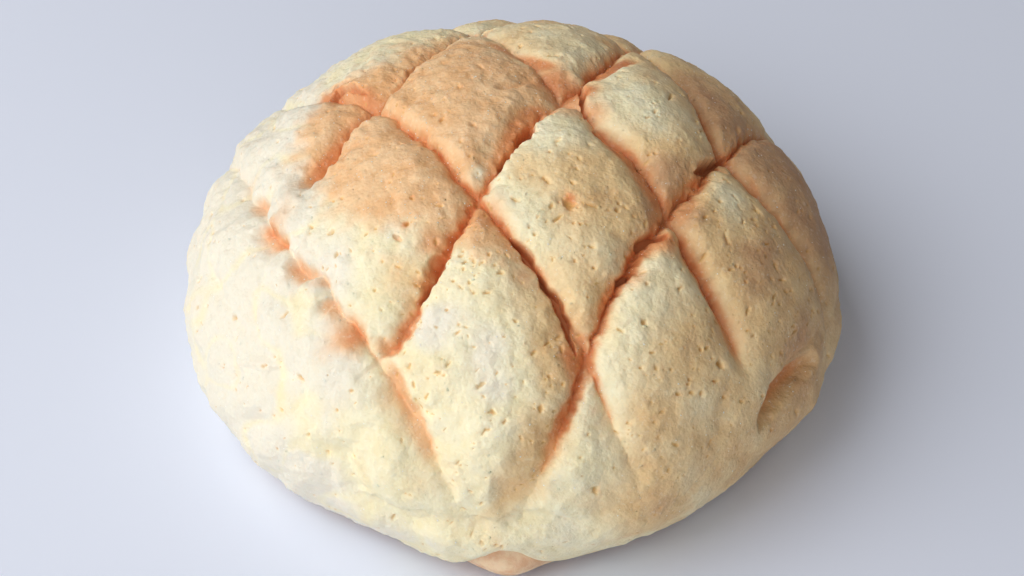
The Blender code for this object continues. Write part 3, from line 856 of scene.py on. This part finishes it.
def make_crust_colour():
    """The crust's colours, from pale through tan and toasted to the dark of the tears, with painted
    highlights, painted shade and painted glow.
    """
    group, given, made = empty_group(
        "crust_colour",
        [("Tone", "NodeSocketFloat", 0.5)],
        [("Colour", "NodeSocketColor"), ("Height", "NodeSocketFloat"), ("Glaze", "NodeSocketFloat")],
    )
    names = ("toast", "bake_and_painted_light", "stain_and_glow", "dark", "pore", "porous", "bump_highlight")
    toast, bake_and_painted_light, stain_and_glow, dark, pore, porous, bump_highlight = (attribute_in(group, name) for name in names)
    pitted = math_of(group, "MULTIPLY", porous, 0.12)
    grain = grain_in(group, Grain=0.75 * MM, Patch=5 * MM, Pit=1.7 * MM, Pitted=pitted)
    patches = math_of(group, "MULTIPLY_ADD", spread_of(group, grain["Patches"], 0.38, 0.64), 0.7, 0.35)
    # Lighter on the bumps: painted highlight.
    patches = math_of(group, "MULTIPLY_ADD", bump_highlight, -0.55, patches)
    patches = math_of(group, "MINIMUM", math_of(group, "MAXIMUM", patches, 0.0), 1.0)
    # Each colour pair is lit on the bumps and shaded in the hollows: painted highlight and painted shade.
    pale, tan, brown, toasted = (
        blend_of(group, patches, (*highlit_colour, 1), (*shaded_colour, 1))
        for highlit_colour, shaded_colour in (
            ((0.90, 0.84, 0.60), (0.87, 0.78, 0.50)),
            ((0.84, 0.62, 0.33), (0.74, 0.49, 0.24)),
            ((0.60, 0.37, 0.20), (0.50, 0.28, 0.15)),
            ((0.89, 0.58, 0.32), (0.80, 0.43, 0.19)),
        )
    )
    # Darker brown in the pits and pores: painted shade.
    pits = math_of(group, "MULTIPLY", grain["Pits"], 0.6)
    pits = math_of(group, "MAXIMUM", pits, math_of(group, "MULTIPLY", pore, 0.8))
    colour = pale
    for mask, share, over in (  # each colour goes over those before it
        (spread_of(group, bake_and_painted_light, -0.3, 0.02, 0.9, 0.0), 1, (0.82, 0.78, 0.67, 1)),  # painted light: the lit left side washed whiter
        (spread_of(group, bake_and_painted_light, 0.0, 0.65), 1, tan),
        (spread_of(group, bake_and_painted_light, 0.55, 1.1), 1, brown),
        (toast, 0.92, toasted),
        (spread_of(group, stain_and_glow, 0.1, 0.75), 0.8, (0.82, 0.45, 0.21, 1)),  # the halo of stain and painted warm glow
        (spread_of(group, stain_and_glow, 0.42, 1.05), 0.9, (0.68, 0.23, 0.08, 1)),  # and its darker middle, stain and painted shade
        (spread_of(group, grain["Flecks"], 0.57, 0.67), 0.16, (0.97, 0.93, 0.80, 1)),
        (spread_of(group, grain["Flecks"], 0.32, 0.42, 1.0, 0.0), 0.08, (0.58, 0.34, 0.14, 1)),
        # painted shade in the pits and pores
        (pits, 1, (0.62, 0.38, 0.12, 1)),
        # painted shade along the creases and in the tears, partly the tears' own red-brown
        (dark, 0.85, (0.62, 0.21, 0.08, 1)),
    ):
        colour = blend_of(group, math_of(group, "MULTIPLY", mask, share), colour, over)
    tone = spread_of(group, given.outputs["Tone"], 0.0, 1.0, 0.95, 1.07)
    glaze = spread_of(group, stain_and_glow, 0.3, 1.0, 0.66, 0.48)
    set_inputs(group, made, Colour=scale_of(group, colour, tone), Height=grain["Height"], Glaze=glaze)
    return group


crust_colour = make_crust_colour()


def crust_material(name, bump_strength):
    material, tree, shader = new_material(name)
    finish = {"node_tree": crust_colour}
    finish = add(tree, "ShaderNodeGroup", finish, Tone=attribute_in(tree, "tone")).outputs
    bump = add(tree, "ShaderNodeBump", Height=finish["Height"], Strength=bump_strength, Distance=0.3 * MM)
    shader.subsurface_method = "BURLEY"  # dough lets light in a little way, evenly on all sides
    set_inputs(
        tree, shader, Base_Color=finish["Colour"], Roughness=finish["Glaze"], Normal=bump.outputs["Normal"],
        Specular_IOR_Level=0.35, Subsurface_Weight=0.6, Subsurface_Radius=(1.0, 0.5, 0.25),
        Subsurface_Scale=0.7 * MM,
    )
    return material


cookie_crust = make_crust()
cookie_crust.data.materials.append(crust_material("cookie_crust", 0.38))
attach(cookie_crust, "root")
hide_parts("bun")


# ---------------------------------------------------------------- the crumbs of the crust
# Granules of cookie dough that stand out of the crust, and crumbs that broke off along the tears.
# They are the same dough as the crust, baked onto it, and each takes its colour from where it is.

CRUMBS_PER_CM2 = 10
CRUMB_SIZE = (0.14 * MM, 0.34 * MM)  # half its width
CRUMB_FLATNESS = 0.45
CRUMB_SINK = 0.6  # as a share of its half height


def random_between(tree, low, high, seed, kind="FLOAT"):
    first, made = {"FLOAT_VECTOR": (0, 0), "FLOAT": (2, 1)}[kind]
    limits = {f"n{first}": low, f"n{first + 1}": high}
    return add(tree, "FunctionNodeRandomValue", {"data_type": kind}, Seed=seed, **limits).outputs[made]


def make_scatter_tree():
    """Scatters small grains over a surface where it is gritty, part sunk into it."""
    tree = bpy.data.node_groups.new("scattered_grains", "GeometryNodeTree")
    kinds = {"Surface": "Geometry", "Seed": "Int", "Material": "Material"}
    for name in (
        "Surface", "Density", "Smallest", "Largest", "Flatness", "Sink", "Jagged", "Seed", "Material"
    ):
        socket = "NodeSocket" + kinds.get(name, "Float")
        tree.interface.new_socket(name, in_out="INPUT", socket_type=socket)
    tree.interface.new_socket("Grains", in_out="OUTPUT", socket_type="NodeSocketGeometry")
    given, made = tree.nodes.new("NodeGroupInput").outputs, tree.nodes.new("NodeGroupOutput")
    gritty = add(tree, "GeometryNodeInputNamedAttribute", {"data_type": "FLOAT"}, Name="gritty").outputs[0]
    density = math_of(tree, "MULTIPLY", gritty, given["Density"])
    points = add(
        tree, "GeometryNodeDistributePointsOnFaces", {"distribute_method": "RANDOM"},
        Mesh=given["Surface"], Density=density, Seed=given["Seed"],
    ).outputs
    ball = add(tree, "GeometryNodeMeshIcoSphere", Radius=1.0, Subdivisions=1).outputs["Mesh"]
    rough = random_between(tree, (-0.5, -0.5, -0.5), (0.5, 0.5, 0.5), 3, "FLOAT_VECTOR")
    rough = scale_of(tree, rough, given["Jagged"])
    grain = add(tree, "GeometryNodeSetPosition", Geometry=ball, Offset=rough).outputs[0]
    size = math_of(tree, "POWER", random_between(tree, 0.0, 1.0, 5), 1.8)
    sizes = {"To_Min": given["Smallest"], "To_Max": given["Largest"]}
    size = add(tree, "ShaderNodeMapRange", Value=size, **sizes).outputs[0]
    long_way = math_of(tree, "MULTIPLY", size, random_between(tree, 0.8, 1.5, 7))
    thick = math_of(tree, "MULTIPLY", size, given["Flatness"])
    sunk = math_of(tree, "MULTIPLY", math_of(tree, "MULTIPLY", thick, given["Sink"]), -1.0)
    down = scale_of(tree, points["Normal"], sunk)
    spots = add(tree, "GeometryNodeSetPosition", Geometry=points["Points"], Offset=down).outputs[0]
    scale = add(tree, "ShaderNodeCombineXYZ", X=long_way, Y=size, Z=thick).outputs[0]
    spin = add(tree, "ShaderNodeCombineXYZ", Z=random_between(tree, 0.0, 2 * math.pi, 9)).outputs[0]
    turned_grain = add(
        tree, "FunctionNodeRotateRotation", {"rotation_space": "LOCAL"},
        Rotation=points["Rotation"], Rotate_By=spin,
    ).outputs[0]
    placed = add(
        tree, "GeometryNodeInstanceOnPoints",
        Points=spots, Instance=grain, Rotation=turned_grain, Scale=scale,
    ).outputs[0]
    toned = add(
        tree, "GeometryNodeStoreNamedAttribute", {"data_type": "FLOAT", "domain": "INSTANCE"},
        Geometry=placed, Name="tone", Value=random_between(tree, 0.0, 1.0, 13),
    ).outputs[0]
    real = add(tree, "GeometryNodeRealizeInstances", Geometry=toned).outputs[0]
    painted = add(tree, "GeometryNodeSetMaterial", Geometry=real, Material=given["Material"]).outputs[0]
    tree.links.new(painted, made.inputs[0])
    return tree


scatter_tree = make_scatter_tree()


def scattered(name, surface, smooth_faces, **values):
    """A piece of grains scattered over another piece's surface."""
    host = bpy.data.objects.new(name + "_host", surface.data)
    bpy.context.scene.collection.objects.link(host)
    spread = host.modifiers.new("grains", "NODES")
    spread.node_group = scatter_tree
    for item in scatter_tree.interface.items_tree:
        if item.in_out == "INPUT" and item.name in values:
            spread[item.identifier] = values[item.name]
    evaluated = host.evaluated_get(bpy.context.evaluated_depsgraph_get())
    grains = bpy.data.meshes.new_from_object(evaluated)
    host.modifiers.remove(spread)
    bpy.data.objects.remove(host)
    grains.name = name
    if smooth_faces:
        grains.shade_smooth()
    piece = bpy.data.objects.new(name, grains)
    bpy.context.scene.collection.objects.link(piece)
    return piece


crust_crumbs = scattered(
    "crust_crumbs", cookie_crust, True,
    Density=CRUMBS_PER_CM2 * 1e4, Smallest=CRUMB_SIZE[0], Largest=CRUMB_SIZE[1], Flatness=CRUMB_FLATNESS,
    Sink=CRUMB_SINK, Jagged=0.35, Seed=4, Material=crust_material("crust_crumbs", 0.3),
)
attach(crust_crumbs, "root")
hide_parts("bun")


# ---------------------------------------------------------------- the sugar
# Fine sugar that the dough was rolled in before it was scored. The crystals stay whole in the
# oven and lie half sunk in the crust, where they catch the light.

SUGAR_PER_CM2 = 16
SUGAR_SIZE = (0.07 * MM, 0.14 * MM)


def sugar_material():
    material, tree, shader = new_material("sugar")
    set_inputs(
        tree, shader, Base_Color=(0.96, 0.93, 0.85, 1), Roughness=0.35, IOR=1.54,
        Subsurface_Weight=0.5, Subsurface_Radius=(1.0, 0.9, 0.8), Subsurface_Scale=0.8 * MM,
    )
    return material


sugar_grains = scattered(
    "sugar_grains", cookie_crust, False,
    Density=SUGAR_PER_CM2 * 1e4, Smallest=SUGAR_SIZE[0], Largest=SUGAR_SIZE[1], Flatness=0.9,
    Sink=0.3, Jagged=0.5, Seed=23, Material=sugar_material(),
)
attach(sugar_grains, "root")
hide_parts("bun")


# ---------------------------------------------------------------- the stage
# A plain pale floor under the bun, one big soft light from the left and a pale room around it.


def make_stage():
    bpy.ops.mesh.primitive_circle_add(vertices=96, radius=1.5, fill_type="NGON", location=(0, 0, -0.05 * MM))
    floor = bpy.context.object
    floor.name = "floor"
    material, tree, shader = new_material("floor")
    set_inputs(tree, shader, Base_Color=(0.78, 0.84, 1.0, 1), Roughness=0.55)
    floor.data.materials.append(material)
    floor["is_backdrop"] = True
    world = bpy.data.worlds.new("room")
    world.use_nodes = True
    glow = world.node_tree.nodes["Background"]
    set_inputs(world.node_tree, glow, Color=(1.0, 0.96, 0.92, 1), Strength=0.18)
    bpy.context.scene.world = world


def area_light(name, place, aim, size, power, colour):
    light = bpy.data.lights.new(name, "AREA")
    light.size = size
    light.energy = power
    light.color = colour
    lamp = bpy.data.objects.new(name, light)
    lamp.location = place
    lamp.rotation_euler = (Vector(aim) - Vector(place)).to_track_quat("-Z", "Y").to_euler()
    bpy.context.scene.collection.objects.link(lamp)


def make_camera():
    """Looks down on the bun at 46 degrees, 40 cm from the middle of its underside."""
    distance, elevation = 0.4, math.radians(46)
    tilt, pan = math.radians(1.297), math.radians(0.057)
    camera = bpy.data.cameras.new("camera")
    camera.sensor_width = 36
    camera.lens = 78.1
    camera.clip_start = 0.01
    seat = bpy.data.objects.new("camera", camera)
    seat.location = (0, -distance * math.cos(elevation), distance * math.sin(elevation))
    seat.rotation_euler = (math.pi / 2 - elevation + tilt, 0, -pan)
    bpy.context.scene.collection.objects.link(seat)
    bpy.context.scene.camera = seat


make_stage()
area_light("window", (-0.64, -0.11, 0.70), (0, 0, 0.03), 1.0, 8.3, (1.0, 0.985, 0.955))
area_light("room front", (-0.3, -0.88, 0.33), (0, 0, 0.02), 1.0, 4.0, (1.0, 0.97, 0.93))
make_camera()
bpy.context.scene.view_settings.view_transform = "Standard"

[[list(corner) for corner in box] for box in (cad_box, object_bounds())]
